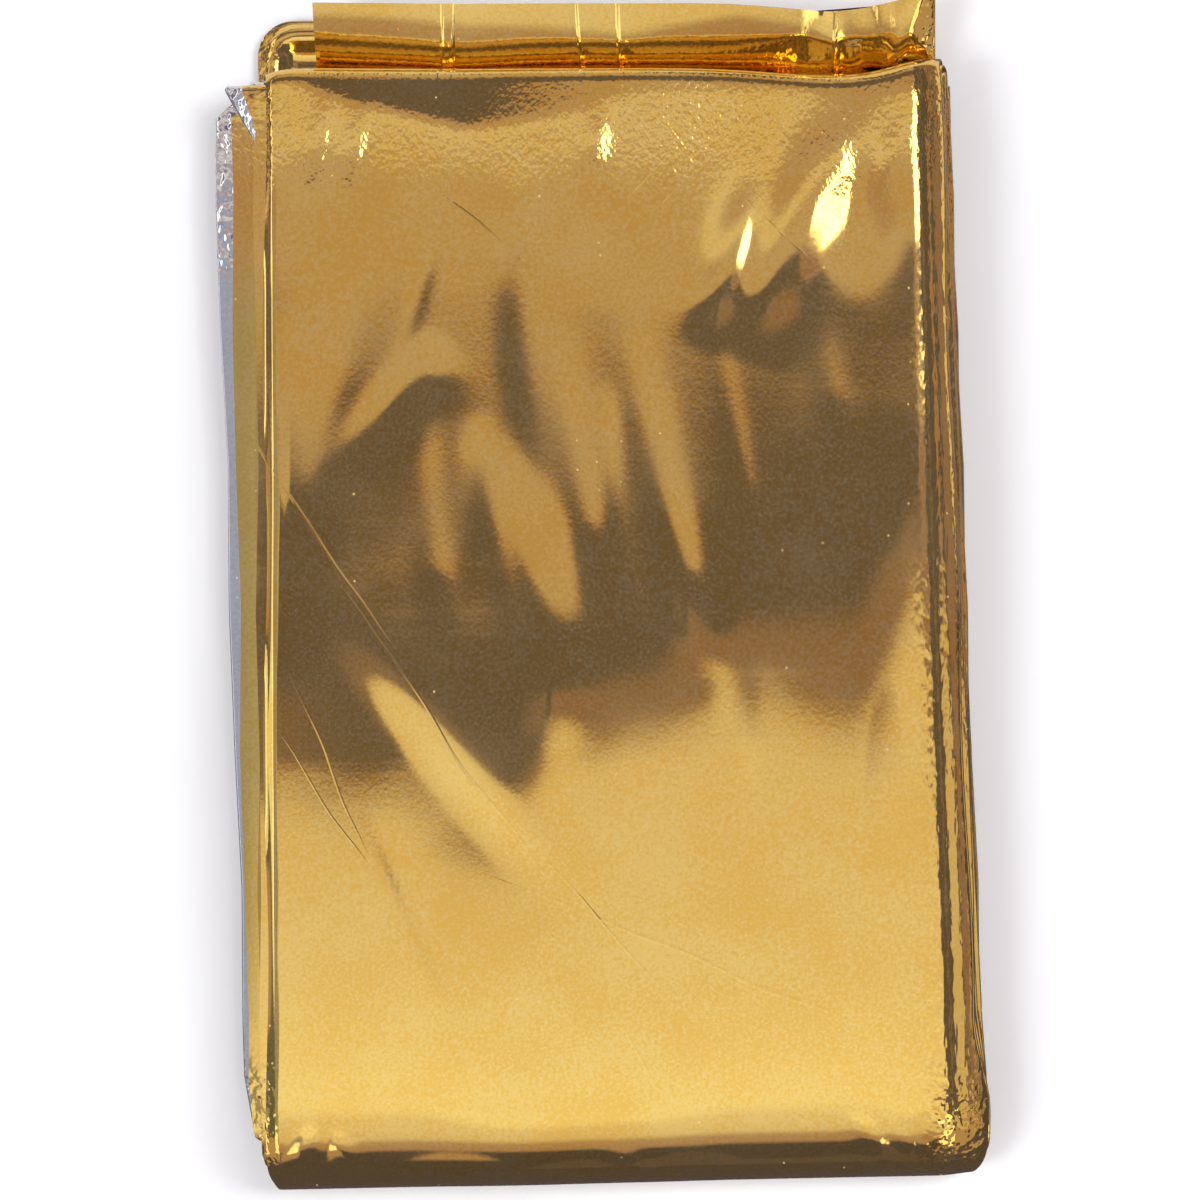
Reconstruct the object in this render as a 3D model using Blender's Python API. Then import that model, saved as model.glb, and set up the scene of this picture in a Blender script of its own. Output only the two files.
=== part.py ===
"""Emergency foil blanket, folded to a pocket-sized packet that lies flat on a surface.

The blanket is one sheet of gold and silver film. It is pleated across its width into a strip one
panel wide, and the strip is folded in half again and again. The solid is that strip: one long wad
of film, folded in half three times, so that eight layers lie on each other with a little air
between them. All the halvings leave nested turns at one end, the fold end (-Y). The other end,
the open end (+Y), has the turns of the earlier folds and the strip's two free ends.

Metres, +Z up. The origin is at the middle of the packet's underside. X is across the packet.
"""

import math

import bmesh
import bpy

MM = 0.001

# The blanket, and the panels that it is folded to.
BLANKET_WIDTH = 1600 * MM
BLANKET_LENGTH = 2100 * MM
PLEATS_ACROSS = 20
PANELS_ALONG = 16
PANEL_WIDTH = BLANKET_WIDTH / PLEATS_ACROSS
PANEL_LENGTH = BLANKET_LENGTH / PANELS_ALONG

# The strip, folded in half this many times.
HALVINGS = 3
LAYER_COUNT = 2**HALVINGS
LAYER_THICKNESS = 1.0 * MM
LAYER_GAP = 0.45 * MM
LAYER_PITCH = LAYER_THICKNESS + LAYER_GAP
STACK_HEIGHT = (LAYER_COUNT - 1) * LAYER_PITCH + LAYER_THICKNESS
FLOOR_LAYER = 0
FLAP_LAYER = 1
TOP_LAYER = LAYER_COUNT - 1

# Where the straight runs end. The outermost turn's outside closes the panel's length.
OPEN_TURN_Y = 59.3 * MM
FOLD_TURN_Y = OPEN_TURN_Y + 2.675 * MM - PANEL_LENGTH + STACK_HEIGHT / 2

# One row a layer, from the floor up. The sides are at the fold end and at the open end, in mm
# across the packet. fold_in is how far the layer's turn stays inside the outermost one, and
# open_out how far its turn or free end reaches past OPEN_TURN_Y.
LAYER_COLUMNS = ("left_fold", "left_open", "right_fold", "right_open", "fold_in", "open_out")
LAYER_ROWS = (
    (-38.9, -40.6, 44.4, 39.6, 0.0, 7.6),
    (-39.8, -43.0, 44.8, 40.2, 0.4, 10.0),
    (-40.6, -45.1, 45.3, 41.4, 0.8, 1.7),
    (-41.5, -45.7, 45.7, 41.3, 1.1, 1.7),
    (-41.0, -43.0, 45.4, 41.1, 1.1, 0.0),
    (-40.0, -41.4, 45.0, 40.7, 0.8, -1.0),
    (-39.2, -40.1, 44.8, 40.5, 0.4, -1.0),
    (-38.5, -39.4, 44.4, 40.0, 0.0, 0.0),
)
LAYERS = [dict(zip(LAYER_COLUMNS, (value * MM for value in row))) for row in LAYER_ROWS]

# Each side wanders a little along the packet.
SIDE_WANDER = 0.25 * MM
SIDE_WANDER_LENGTH = 47 * MM

# The two free ends. The upper one is a flap that tilts up, with its left corner tucked in, and
# the lower one has round corners.
FLAP_TILT = math.radians(10)
FLAP_BEND_START = OPEN_TURN_Y + 1.8 * MM
FLAP_BEND_LENGTH = 3 * MM
FLAP_TUCK = 10 * MM
FLAP_TUCK_START = 50 * MM
FLAP_TUCK_LENGTH = 10 * MM
FLOOR_CORNER_RADIUS = 4.5 * MM

# The packet is a cushion of air and film: lower along its sides and ends, crowned in the middle.
SIDE_HEIGHT_SHARE = 0.80
SIDE_ROUND = 8 * MM
END_HEIGHT_SHARE = 0.94
END_ROUND = 14 * MM
CROWN_SHARE = 0.05
HALF_WIDTH = 46 * MM
HALF_LENGTH = 70 * MM

# The fold end runs a little askew, and the upper turns of the open end wander.
FOLD_SLANT = 0.0215
OPEN_WAVE_START = 40 * MM
OPEN_WAVE_LENGTH = 20 * MM
OPEN_WAVE_FLOOR = 4.5 * MM
OPEN_WAVE_RISE = 3 * MM
OPEN_WAVE_COLUMNS = ("x", "reach", "width")
OPEN_WAVE_ROWS = (
    (-42.0, -1.3, 5.0),
    (-29.0, 0.5, 9.0),
    (27.0, -1.2, 9.0),
    (40.0, 1.5, 6.0),
)
OPEN_WAVES = [dict(zip(OPEN_WAVE_COLUMNS, (value * MM for value in row))) for row in OPEN_WAVE_ROWS]

# The main creases of the top layer, each a soft ridge or trough between two points, in mm.
CREASE_COLUMNS = ("x0", "y0", "x1", "y1", "height", "width")
CREASE_ROWS = (
    (14.0, 33.5, 31.0, 42.0, -0.55, 5.0),
    (31.0, 42.0, 39.5, 44.5, -0.45, 4.0),
    (20.0, 36.0, 24.5, 50.0, 0.35, 3.0),
    (-10.5, 38.0, -9.0, 14.0, -0.30, 3.0),
    (-18.0, 27.0, -21.0, 8.0, 0.30, 3.5),
    (-27.0, -2.0, -9.5, -28.0, 0.30, 4.0),
    (5.0, 26.0, 9.0, 6.0, 0.30, 3.5),
    (-9.0, -23.0, 12.0, -10.0, -0.30, 4.0),
    (36.0, 30.0, 36.5, -50.0, 0.35, 3.0),
    (-34.0, 55.0, 30.0, 53.0, 0.35, 5.0),
)
CREASES = [dict(zip(CREASE_COLUMNS, (value * MM for value in row))) for row in CREASE_ROWS]

# The mesh: points across the outer and the inner face of the strip, and steps along each run.
OUTER_COLUMNS = 20
INNER_COLUMNS = 10
COLUMN_CROWDING = 0.6
SIDE_BEVEL = 0.35 * MM
RUN_STEPS = {FLOOR_LAYER: 12, FLAP_LAYER: 12, TOP_LAYER: 28}
HIDDEN_RUN_STEPS = 4
TURN_STEP = 1.3 * MM
LEAST_TURN_STEPS = 5

GOLD_FILM = (0.86, 0.62, 0.20, 1.0)


def smooth(share):
    """0 up to 0, 1 from 1, and a soft step between."""
    share = min(1.0, max(0.0, share))
    return share * share * (3 - 2 * share)


def mix(a, b, share):
    return a + (b - a) * share


def layer_z(layer):
    """The height of a layer's middle, before the packet is crowned."""
    return LAYER_THICKNESS / 2 + layer * LAYER_PITCH


def layers_along_strip(halvings):
    """The layer that each panel of the strip lies in, in order along the strip."""
    columns = [[panel] for panel in range(2**halvings)]
    while len(columns) > 1:
        half = len(columns) // 2
        columns = [columns[i] + columns[-1 - i][::-1] for i in range(half)]
    return [columns[0].index(panel) for panel in range(2**halvings)]


def tucked_in(layer, y):
    """How far a free end's corners draw in from the layer's left and right sides."""
    if layer == FLAP_LAYER:
        return FLAP_TUCK * smooth((y - FLAP_TUCK_START) / FLAP_TUCK_LENGTH), 0.0
    if layer == FLOOR_LAYER:
        end = OPEN_TURN_Y + LAYERS[layer]["open_out"]
        into = min(FLOOR_CORNER_RADIUS, max(0.0, y - end + FLOOR_CORNER_RADIUS))
        inset = FLOOR_CORNER_RADIUS - math.sqrt(FLOOR_CORNER_RADIUS**2 - into**2)
        return inset, inset
    return 0.0, 0.0


def sides(layer, y):
    """The left and right side of a layer at a place along the packet."""
    row = LAYERS[layer]
    share = (y - FOLD_TURN_Y) / (OPEN_TURN_Y - FOLD_TURN_Y)
    wander = SIDE_WANDER * math.sin(2 * math.pi * y / SIDE_WANDER_LENGTH + 1.9 * layer)
    left_tuck, right_tuck = tucked_in(layer, y)
    left = mix(row["left_fold"], row["left_open"], share) + wander + left_tuck
    right = mix(row["right_fold"], row["right_open"], share) + wander - right_tuck
    return left, right


def flap_rise(y):
    """(rise, slope angle) of the flap: a short bend, then a straight tilt."""
    into = y - FLAP_BEND_START
    if into <= 0:
        return 0.0, 0.0
    if into < FLAP_BEND_LENGTH:
        slope = math.tan(FLAP_TILT) * into / FLAP_BEND_LENGTH
        return slope * into / 2, math.atan(slope)
    return math.tan(FLAP_TILT) * (into - FLAP_BEND_LENGTH / 2), FLAP_TILT


def run_stations(layer, y_from, y_to):
    """Sections along a straight run: (y, z, direction along the strip, left, right)."""
    steps = RUN_STEPS.get(layer, HIDDEN_RUN_STEPS)
    towards = 0.0 if y_to > y_from else math.pi
    found = []
    for step in range(steps + 1):
        y = mix(y_from, y_to, step / steps)
        rise, slope = flap_rise(y) if layer == FLAP_LAYER else (0.0, 0.0)
        found.append((y, layer_z(layer) + rise, towards + slope, *sides(layer, y)))
    return found


def turn_stations(lower_or_upper, other, y_centre, outward):
    """Sections round a turn from one layer to another, without its two ends.

    outward is +1 at the open end and -1 at the fold end.
    """
    z_from, z_to = layer_z(lower_or_upper), layer_z(other)
    radius = abs(z_to - z_from) / 2
    rising = 1 if z_to > z_from else -1
    steps = max(LEAST_TURN_STEPS, round(math.pi * radius / TURN_STEP))
    sides_from, sides_to = sides(lower_or_upper, y_centre), sides(other, y_centre)
    found = []
    for step in range(1, steps):
        share = step / steps
        angle = math.pi * share
        y = y_centre + outward * radius * math.sin(angle)
        z = (z_from + z_to) / 2 - rising * radius * math.cos(angle)
        direction = math.atan2(rising * math.sin(angle), outward * math.cos(angle))
        left, right = (mix(a, b, smooth(share)) for a, b in zip(sides_from, sides_to))
        found.append((y, z, direction, left, right))
    return found


def strip_stations():
    """Every section of the strip, from the free end on the floor to the end of the flap."""
    order = layers_along_strip(HALVINGS)
    found = []
    for place, layer in enumerate(order):
        row = LAYERS[layer]
        fold_y = FOLD_TURN_Y + row["fold_in"]
        open_y = OPEN_TURN_Y + row["open_out"]
        to_fold = place % 2 == 0
        ends = (open_y, fold_y) if to_fold else (fold_y, open_y)
        found += run_stations(layer, *ends)
        if place + 1 < len(order):
            found += turn_stations(layer, order[place + 1], ends[1], -1 if to_fold else 1)
    return found


def column_share(column, count):
    """Where a column of points stands across the strip: closer together near the sides."""
    even = column / count
    crowded = 0.5 - 0.5 * math.cos(math.pi * even)
    return mix(even, crowded, COLUMN_CROWDING)


def section_points(station):
    """The closed outline of one section: outer face, right side, inner face, left side."""
    y, z, direction, left, right = station
    normal_y, normal_z = -math.sin(direction), math.cos(direction)
    half = LAYER_THICKNESS / 2

    def at(x, offset):
        return x, y + normal_y * offset, z + normal_z * offset

    inner_left, inner_right = left + SIDE_BEVEL, right - SIDE_BEVEL
    outer = [
        at(mix(inner_left, inner_right, column_share(i, OUTER_COLUMNS)), half)
        for i in range(OUTER_COLUMNS + 1)
    ]
    inner = [
        at(mix(inner_right, inner_left, column_share(i, INNER_COLUMNS)), -half)
        for i in range(INNER_COLUMNS + 1)
    ]
    return outer + [at(right, 0)] + inner + [at(left, 0)]


def crease_height(x, y):
    """How far the creases lift or sink the top layer at a point."""
    height = 0.0
    for crease in CREASES:
        along_x = crease["x1"] - crease["x0"]
        along_y = crease["y1"] - crease["y0"]
        from_x, from_y = x - crease["x0"], y - crease["y0"]
        share = (from_x * along_x + from_y * along_y) / (along_x**2 + along_y**2)
        share = min(1.0, max(0.0, share))
        away = math.hypot(from_x - share * along_x, from_y - share * along_y)
        height += crease["height"] * math.exp(-((away / crease["width"]) ** 2))
    return height


def height_share(x, y):
    """How high the packet stands at a point, against its flat stack of layers."""
    share = (y - FOLD_TURN_Y) / (OPEN_TURN_Y - FOLD_TURN_Y)
    left = min(mix(row["left_fold"], row["left_open"], share) for row in LAYERS)
    right = max(mix(row["right_fold"], row["right_open"], share) for row in LAYERS)
    from_side = min(x - left, right - x)
    from_end = min(y - FOLD_TURN_Y, OPEN_TURN_Y - y)
    side = mix(SIDE_HEIGHT_SHARE, 1.0, smooth(from_side / SIDE_ROUND))
    end = mix(END_HEIGHT_SHARE, 1.0, smooth(from_end / END_ROUND))
    across = max(0.0, 1 - (x / HALF_WIDTH) ** 2)
    along = max(0.0, 1 - (y / HALF_LENGTH) ** 2)
    return side * end * (1 + CROWN_SHARE * across * along)


def settled(point):
    """A point of the flat stack, moved to where it lies in the puffed and creased packet."""
    x, y, z = point
    level = z / STACK_HEIGHT
    lifted = z * height_share(x, y) + crease_height(x, y) * level**3
    left = LAYERS[TOP_LAYER]["left_fold"]
    slant = FOLD_SLANT * (x - left) * smooth(y / FOLD_TURN_Y)
    wave = sum(
        row["reach"] * math.exp(-(((x - row["x"]) / row["width"]) ** 2)) for row in OPEN_WAVES
    )
    wave *= smooth((y - OPEN_WAVE_START) / OPEN_WAVE_LENGTH)
    wave *= smooth((z - OPEN_WAVE_FLOOR) / OPEN_WAVE_RISE)
    return x, y + slant + wave, lifted


def film_material():
    material = bpy.data.materials.new("gold_film")
    material.use_nodes = True
    shader = material.node_tree.nodes["Principled BSDF"]
    shader.inputs["Base Color"].default_value = GOLD_FILM
    shader.inputs["Metallic"].default_value = 1.0
    shader.inputs["Roughness"].default_value = 0.2
    return material


def folded_sheet():
    """The folded strip as one closed mesh, centred over the origin."""
    rings = [[settled(p) for p in section_points(s)] for s in strip_stations()]
    points = [point for ring in rings for point in ring]
    middle_x, middle_y = (
        (min(p[axis] for p in points) + max(p[axis] for p in points)) / 2 for axis in (0, 1)
    )
    shape = bmesh.new()
    rows = [
        [shape.verts.new((x - middle_x, y - middle_y, z)) for x, y, z in ring] for ring in rings
    ]
    for row, after in zip(rows, rows[1:]):
        for i, vertex in enumerate(row):
            beside = (i + 1) % len(row)
            shape.faces.new((vertex, row[beside], after[beside], after[i]))
    shape.faces.new(rows[0][::-1])
    shape.faces.new(rows[-1])
    bmesh.ops.recalc_face_normals(shape, faces=shape.faces)
    mesh = bpy.data.meshes.new("foil_sheet")
    shape.to_mesh(mesh)
    shape.free()
    mesh.shade_smooth()
    mesh.set_sharp_from_angle(angle=math.radians(50))
    return mesh


def main():
    for old in list(bpy.data.objects):
        bpy.data.objects.remove(old)
    mesh = folded_sheet()
    mesh.materials.append(film_material())
    sheet = bpy.data.objects.new("foil_sheet", mesh)
    bpy.context.scene.collection.objects.link(sheet)


main()
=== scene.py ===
"""The looks of a folded foil blanket: gold and silver film, a studio tent, floor and camera."""

import math
from collections import namedtuple
from functools import partial, reduce

import bpy
import numpy as np
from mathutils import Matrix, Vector


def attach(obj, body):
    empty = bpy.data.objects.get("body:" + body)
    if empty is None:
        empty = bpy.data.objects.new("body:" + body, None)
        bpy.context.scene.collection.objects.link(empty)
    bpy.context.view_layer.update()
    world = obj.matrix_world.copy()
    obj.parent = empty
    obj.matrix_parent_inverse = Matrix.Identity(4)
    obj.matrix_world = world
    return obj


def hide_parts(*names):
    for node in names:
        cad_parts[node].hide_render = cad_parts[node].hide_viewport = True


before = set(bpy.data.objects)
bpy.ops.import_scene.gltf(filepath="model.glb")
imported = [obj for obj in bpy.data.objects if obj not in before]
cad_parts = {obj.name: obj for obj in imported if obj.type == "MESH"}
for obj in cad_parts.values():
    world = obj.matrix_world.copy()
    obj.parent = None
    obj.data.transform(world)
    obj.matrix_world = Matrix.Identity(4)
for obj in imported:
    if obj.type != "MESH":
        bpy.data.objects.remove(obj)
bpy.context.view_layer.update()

MM = 0.001
MICROMETRE = 1e-6

# ------------------------------------------------------------------------------------------------
# The folded strip. It lies in the solid's layers, but each layer is here four plies of film,
# pleated back and forth, with the gold side on both of the strip's faces.
# ------------------------------------------------------------------------------------------------

PANEL_LENGTH = 131.25 * MM
HALVINGS = 3
LAYER_COUNT = 2**HALVINGS
LAYER_PITCH = 1.45 * MM
LAYER_THICKNESS = 1.0 * MM
STACK_HEIGHT = (LAYER_COUNT - 1) * LAYER_PITCH + LAYER_THICKNESS
FLOOR_LAYER = 0
FLAP_LAYER = 1
TOP_LAYER = LAYER_COUNT - 1

PLY_COUNT = 4
PLY_PITCH = STACK_HEIGHT / (LAYER_COUNT * PLY_COUNT)
FILM_THICKNESS = 0.04 * MM
# The packet's middle, which is moved to the origin.
MIDDLE_X, MIDDLE_Y = 0.015 * MM, 0.17 * MM

# Where the open end's turns begin, how far they reach against a half circle, and where the fold
# end's turns begin.
OPEN_TURN_Y = 59.3 * MM
OPEN_TURN_REACH = 0.4
FOLD_TURN_Y = OPEN_TURN_Y + 2.675 * MM - PANEL_LENGTH + STACK_HEIGHT / 2

# One row a layer, from the floor up, in mm: its left and right sides at the fold end and at the
# open end, how far its turn stays inside the outermost one at the fold end, and how far its turn or
# free end reaches past OPEN_TURN_Y. All of these are close to the solid's.
# gold_fold and gold_open are how far the two outer plies' free edges lie inside the silver pleat at
# the left, and roll_in how far the strip's outer pleat at the right lies inside its inner one.
LAYER_COLUMNS = ("left_fold", "left_open", "right_fold", "right_open", "fold_in", "open_out")
LAYER_COLUMNS += ("gold_fold", "gold_open", "roll_in")
LAYER_ROWS = (
    (-38.9, -40.6, 44.4, 39.6, 0.0, 9.8, -0.4, -0.4, 0.2),
    (-39.8, -43.0, 44.8, 40.2, 0.4, 11.0, -0.4, -0.4, 0.3),
    (-40.6, -45.1, 45.3, 41.4, 0.8, 1.7, 0.5, 1.0, 0.4),
    (-41.5, -45.7, 45.7, 41.3, 1.1, 1.7, 0.9, 2.2, 0.5),
    (-41.0, -43.4, 45.4, 41.1, 1.1, 1.9, -0.4, -0.4, 0.4),
    (-39.4, -40.4, 45.0, 40.7, 0.8, 0.9, -0.4, -0.4, 0.3),
    (-39.2, -40.2, 44.8, 40.5, 0.4, 0.9, -0.4, -0.4, 0.2),
    (-38.5, -38.9, 44.4, 40.0, 0.0, 1.9, -0.4, -0.4, 0.3),
)
LAYERS = [dict(zip(LAYER_COLUMNS, (value * MM for value in row))) for row in LAYER_ROWS]

# Left corners at the open end, drawn in or, where negative, flaring out: where that starts and
# ends, how far it goes, and how much further the gold edge draws back there from the silver pleat.
CORNER_COLUMNS = ("start", "end", "inset", "silver")
CORNER_ROWS = {
    2: (57.4, 61.4, 4.2, 0.0),
    3: (57.0, 61.4, 4.6, 0.0),
    4: (57.0, 61.4, 4.2, 0.0),
    5: (54.6, 60.4, -3.6, 2.2),
    6: (54.0, 60.4, -3.9, 2.2),
}
CORNERS = {
    layer: dict(zip(CORNER_COLUMNS, (value * MM for value in row)))
    for layer, row in CORNER_ROWS.items()
}
CORNER_STEPS = 4

# Towards the fold end all layers come to one right side, and all but the top one to one left side:
# where that starts, over how far, and those sides. Their turns are rounded off at both corners.
END_RIGHT_FROM, END_RIGHT_OVER, END_RIGHT = -50 * MM, 12 * MM, 46.0 * MM
END_LEFT_FROM, END_LEFT_OVER, END_LEFT = -58 * MM, 10 * MM, -39.6 * MM
END_STEPS = 3
TURN_CORNER = 1.5 * MM
TURN_CORNER_SHARPNESS = 4
# Each side wanders a little along the packet, and each layer's in its own phase, in radians.
SIDE_WANDER = 0.25 * MM
SIDE_WANDER_LENGTH = 47 * MM
SIDE_WANDER_PHASE = 1.9

# The flap's top ply tilts up after a short bend, and its other plies spread a little below it.
FLAP_TILT = math.radians(37)
FLAP_SPREAD = math.radians(9)
# Above a soft crease, which wanders from side to side, the flap lies flatter. A row is a place
# across and where the crease lies along the packet there, in mm.
FLAP_LIP_ROWS = (
    (-33.0, 68.6),
    (-18.0, 68.4),
    (-8.0, 67.6),
    (2.5, 66.7),
    (16.0, 68.8),
    (22.0, 68.3),
    (27.8, 66.8),
    (40.0, 67.8),
)
FLAP_LIP_EASE = 0.22
FLAP_LIP_SOFT = 0.25 * MM
FLAP_BEND_START = OPEN_TURN_Y + 1.0 * MM
FLAP_BEND_LENGTH = 2.0 * MM
# Waves of the flap: a place across, how far it slants with y, its half width in mm and how much
# steeper the flap stands there, in degrees.
FLAP_WAVE_COLUMNS = ("x", "slant", "width", "tilt")
FLAP_WAVE_ROWS = (
    (-27.0, 0.0, 7.0, 2.0),
    (-8.0, 0.0, 5.0, 0.5),
    (4.0, 0.0, 4.0, -2.0),
    (16.0, 0.2, 5.0, 2.0),
    (23.0, 0.3, 2.0, -2.5),
    (31.5, -0.4, 1.4, -3.0),
    (34.5, 0.5, 1.4, 3.0),
    (37.5, 0.2, 1.4, -3.0),
)
FLAP_WAVES = [dict(zip(FLAP_WAVE_COLUMNS, row)) for row in FLAP_WAVE_ROWS]
# Its sharp little creases: a place across, how far it slants, its half width and height in mm.
FLAP_CREASE_COLUMNS = ("x", "slant", "width", "height")
FLAP_CREASE_ROWS = (
    (-18.4, 0.05, 0.75, 0.24),
    (-2.2, -0.05, 0.75, 0.20),
    (2.3, 0.0, 0.75, 0.24),
    (27.9, 0.0, 0.75, 0.25),
    (33.0, 0.5, 0.90, 0.25),
    (36.0, -0.3, 0.90, 0.25),
)
FLAP_CREASES = [dict(zip(FLAP_CREASE_COLUMNS, row)) for row in FLAP_CREASE_ROWS]
FLAP_CREASE_START = 1.5 * MM
# Its left side draws in: how far, from where along the packet, and over what length.
FLAP_TUCK = 10 * MM
FLAP_TUCK_START = 50 * MM
FLAP_TUCK_LENGTH = 10 * MM

# The lobe, the free end on the floor, has round corners. It swells inside its rim and falls again
# towards the packet, by a share of its rise.
FLOOR_CORNER_RADIUS = 4.5 * MM
LOBE_START = 58 * MM
LOBE_RISE = 1.6 * MM
LOBE_RIM, LOBE_CREST, LOBE_BACK = 1.6 * MM, 1.4 * MM, 3.2 * MM
LOBE_FALL_SHARE = 0.9

# The cushion of film and air falls to a share of its height at its sides, over a width. At the left
# that width starts LEFT_BEYOND outside the top ply.
LEFT_SHARE, LEFT_BEYOND, LEFT_ROUND = 0.86, 5.0 * MM, 5.6 * MM
RIGHT_SHARE, RIGHT_ROUND = 0.72, 5.2 * MM
# Its face leans a little this way and that. A row is a place along the packet, in mm, and how the
# face leans towards +Y there, in degrees, at six places across it.
LEAN_STEPS = 800
LEAN_ACROSS = (-24.0, -9.0, 4.0, 17.0, 29.0, 37.0)
LEAN_ROWS = (
    (-70.0, -20.0, -17.0, -18.0, -20.0, -20.0, -17.0),
    (-64.0, -20.0, -17.0, -18.0, -20.0, -20.0, -17.0),
    (-62.0, -10.0, -6.0, -7.0, -9.0, -9.0, -7.0),
    (-60.0, -6.5, -4.0, -4.0, -6.0, -6.0, -4.0),
    (-55.0, -3.0, -2.5, -2.5, -3.0, -3.0, -2.5),
    (-45.0, -1.6, -1.5, -1.5, -1.5, -1.5, -1.5),
    (-30.0, -0.8, -0.5, -1.0, -1.1, -1.1, -1.2),
    (-20.0, -0.7, -0.1, -1.1, -1.2, -1.0, -1.4),
    (-14.0, 0.1, 0.6, -0.8, -1.2, -0.9, -1.6),
    (-8.0, 0.9, 1.4, 0.3, -1.15, -0.7, -1.8),
    (-2.0, 1.2, 1.7, 1.3, -0.1, -0.2, -1.9),
    (4.0, 1.4, 1.6, 1.5, 0.9, 0.4, -1.9),
    (14.0, 0.95, 1.15, 1.12, 0.8, 0.4, -0.5),
    (24.0, 0.38, 0.60, 0.58, 0.35, 0.4, 0.3),
    (29.0, 0.30, 0.33, 0.27, 0.15, 0.0, 0.0),
    (34.0, 0.07, 0.07, 0.1, 0.3, -0.35, -0.4),
    (37.0, 0.0, 0.0, 0.8, 3.4, 0.5, -1.0),
    (41.0, 0.0, 0.0, 1.8, 4.8, 3.9, -1.0),
    (45.0, 0.0, 0.0, 2.0, 4.4, 4.4, 0.7),
    (50.0, 3.6, 3.6, 3.6, 3.6, 3.6, 3.6),
    (54.0, 4.6, 4.6, 4.6, 4.6, 4.6, 4.6),
    (66.0, 4.6, 4.6, 4.6, 4.6, 4.6, 4.6),
)
# A bevel at the open end: a place across and where it starts there, in mm, and its slope in
# degrees.
BEVEL_ROWS = (
    (-38.5, 61.6, 8.0),
    (-34.7, 60.4, 12.0),
    (-29.8, 58.6, 13.0),
    (-22.0, 56.7, 13.0),
    (-16.0, 55.2, 12.5),
    (-11.5, 55.6, 10.0),
    (-5.0, 56.6, 7.6),
    (3.0, 59.0, 4.6),
    (24.0, 60.0, 4.0),
    (40.0, 58.6, 9.0),
)
BEVEL_SOFT = 0.35 * MM
# Beyond the stack, over the flap, the packet falls no further.
LEVEL_FROM = 63.3 * MM
# Air lifts the top ply, but not at its left and right rims, and the layer's other plies lie lower.
PUFF = 0.55 * MM
PUFF_LEFT, PUFF_RIGHT = 0.8 * MM, 5 * MM
PLY_TUCK = 0.45 * MM

# The fold end slants across the packet. The open end, above a certain height, has soft waves: a
# place across, how far the wave reaches towards +Y and its half width, in mm.
FOLD_SLANT = 0.0215
OPEN_WAVE_START = 40 * MM
OPEN_WAVE_LENGTH = 20 * MM
OPEN_WAVE_FLOOR = 4.5 * MM
OPEN_WAVE_RISE = 3 * MM
OPEN_WAVE_COLUMNS = ("x", "reach", "width")
OPEN_WAVE_ROWS = (
    (-40.0, -0.7, 3.0),
    (27.0, -0.9, 9.0),
    (40.0, 1.3, 6.0),
)
OPEN_WAVES = [dict(zip(OPEN_WAVE_COLUMNS, (value * MM for value in row))) for row in OPEN_WAVE_ROWS]

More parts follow.
